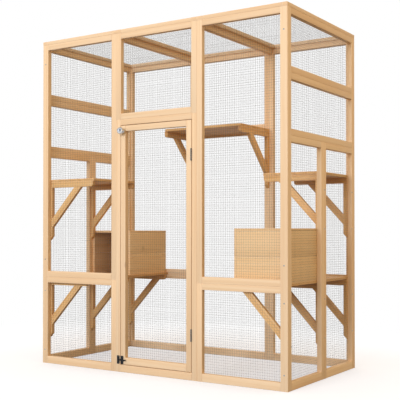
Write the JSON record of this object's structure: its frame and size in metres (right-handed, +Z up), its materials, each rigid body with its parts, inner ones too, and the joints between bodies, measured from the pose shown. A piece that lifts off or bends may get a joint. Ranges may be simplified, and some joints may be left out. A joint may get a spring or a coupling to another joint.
{
  "type": "cat house",
  "caption": "Tall walk-in outdoor cat house of pine frames and wire mesh, with a hinged door, wall shelves on triangular brackets and open-ended sleeping boxes.",
  "frame": {"origin": "centre of the overall box on the ground, knob and screw heads included", "axes": "+X to the right along the front, +Y from the front to the back, +Z up"},
  "size_m": [1.5384, 0.8346, 1.8],
  "materials": {
    "frame_wood": "planed softwood, clear matt oil",
    "shelf_wood": "planed softwood, clear matt oil",
    "box_wood": "planed softwood, clear matt oil",
    "galvanised_wire": "galvanised welded wire",
    "zinc_screw": "zinc plated",
    "hinge_steel": "plain rolled steel",
    "chrome": "polished chrome plate",
    "black_steel": "black powder coat"
  },
  "bodies": {
    "cabin": {"post_front_left": "frame_wood", "post_front_right": "frame_wood", "post_rear_left": "frame_wood", "post_rear_right": "frame_wood", "front_left_lower_frame": "frame_wood", "front_left_upper_frame": "frame_wood", "front_right_lower_frame": "frame_wood", "front_right_upper_frame": "frame_wood", "door_surround": "frame_wood", "over_door_frame": "frame_wood", "left_front_lower_frame": "frame_wood", "left_rear_lower_frame": "frame_wood", "left_middle_frame": "frame_wood", "left_top_frame": "frame_wood", "right_front_lower_frame": "frame_wood", "right_rear_lower_frame": "frame_wood", "right_middle_frame": "frame_wood", "right_top_frame": "frame_wood", "back_left_frames": "frame_wood", "back_middle_frames": "frame_wood", "back_right_frames": "frame_wood", "roof_left_frame": "frame_wood", "roof_middle_frame": "frame_wood", "roof_right_frame": "frame_wood", "roof_beams": "frame_wood", "front_left_net": "galvanised_wire", "front_right_net": "galvanised_wire", "over_door_net": "galvanised_wire", "left_net": "galvanised_wire", "right_net": "galvanised_wire", "back_net": "galvanised_wire", "roof_net": "galvanised_wire", "left_platform": "shelf_wood", "right_platform": "shelf_wood", "left_upper_shelf": "shelf_wood", "right_upper_shelf": "shelf_wood", "back_shelf": "shelf_wood", "left_platform_brackets": "shelf_wood", "right_platform_brackets": "shelf_wood", "left_upper_brackets": "shelf_wood", "right_upper_brackets": "shelf_wood", "back_shelf_brackets": "shelf_wood", "left_box_walls": "box_wood", "left_box_roof": "box_wood", "right_box_walls": "box_wood", "right_box_roof": "box_wood", "wall_screws": "zinc_screw", "hinge_jamb_leaves": "hinge_steel", "hinge_pins": "hinge_steel", "bolt_keeper": "black_steel"},
    "door": {"door_frame": "frame_wood", "door_net": "galvanised_wire", "hinge_door_leaves": "hinge_steel", "knob_rose": "chrome", "bolt_plate": "black_steel"},
    "knob": {"door_knob": "chrome", "latch_tongue": "chrome"},
    "bolt": {"bolt_rod": "black_steel"}
  },
  "joints": [
    {"name": "door_hinge", "type": "hinge", "parent": "cabin", "child": "door", "pos_m": [0.2355, -0.38035, 0.67], "axis": [0, 0, 1], "range_deg": [0, 120]},
    {"name": "knob_turn", "type": "hinge", "parent": "door", "child": "knob", "pos_m": [-0.195, -0.37685, 1.262], "axis": [0, 1, 0], "range_deg": [0, 90]},
    {"name": "bolt_slide", "type": "slide", "parent": "door", "child": "bolt", "axis": [-1, 0, 0], "range_m": [0, 0.017]}
  ]
}
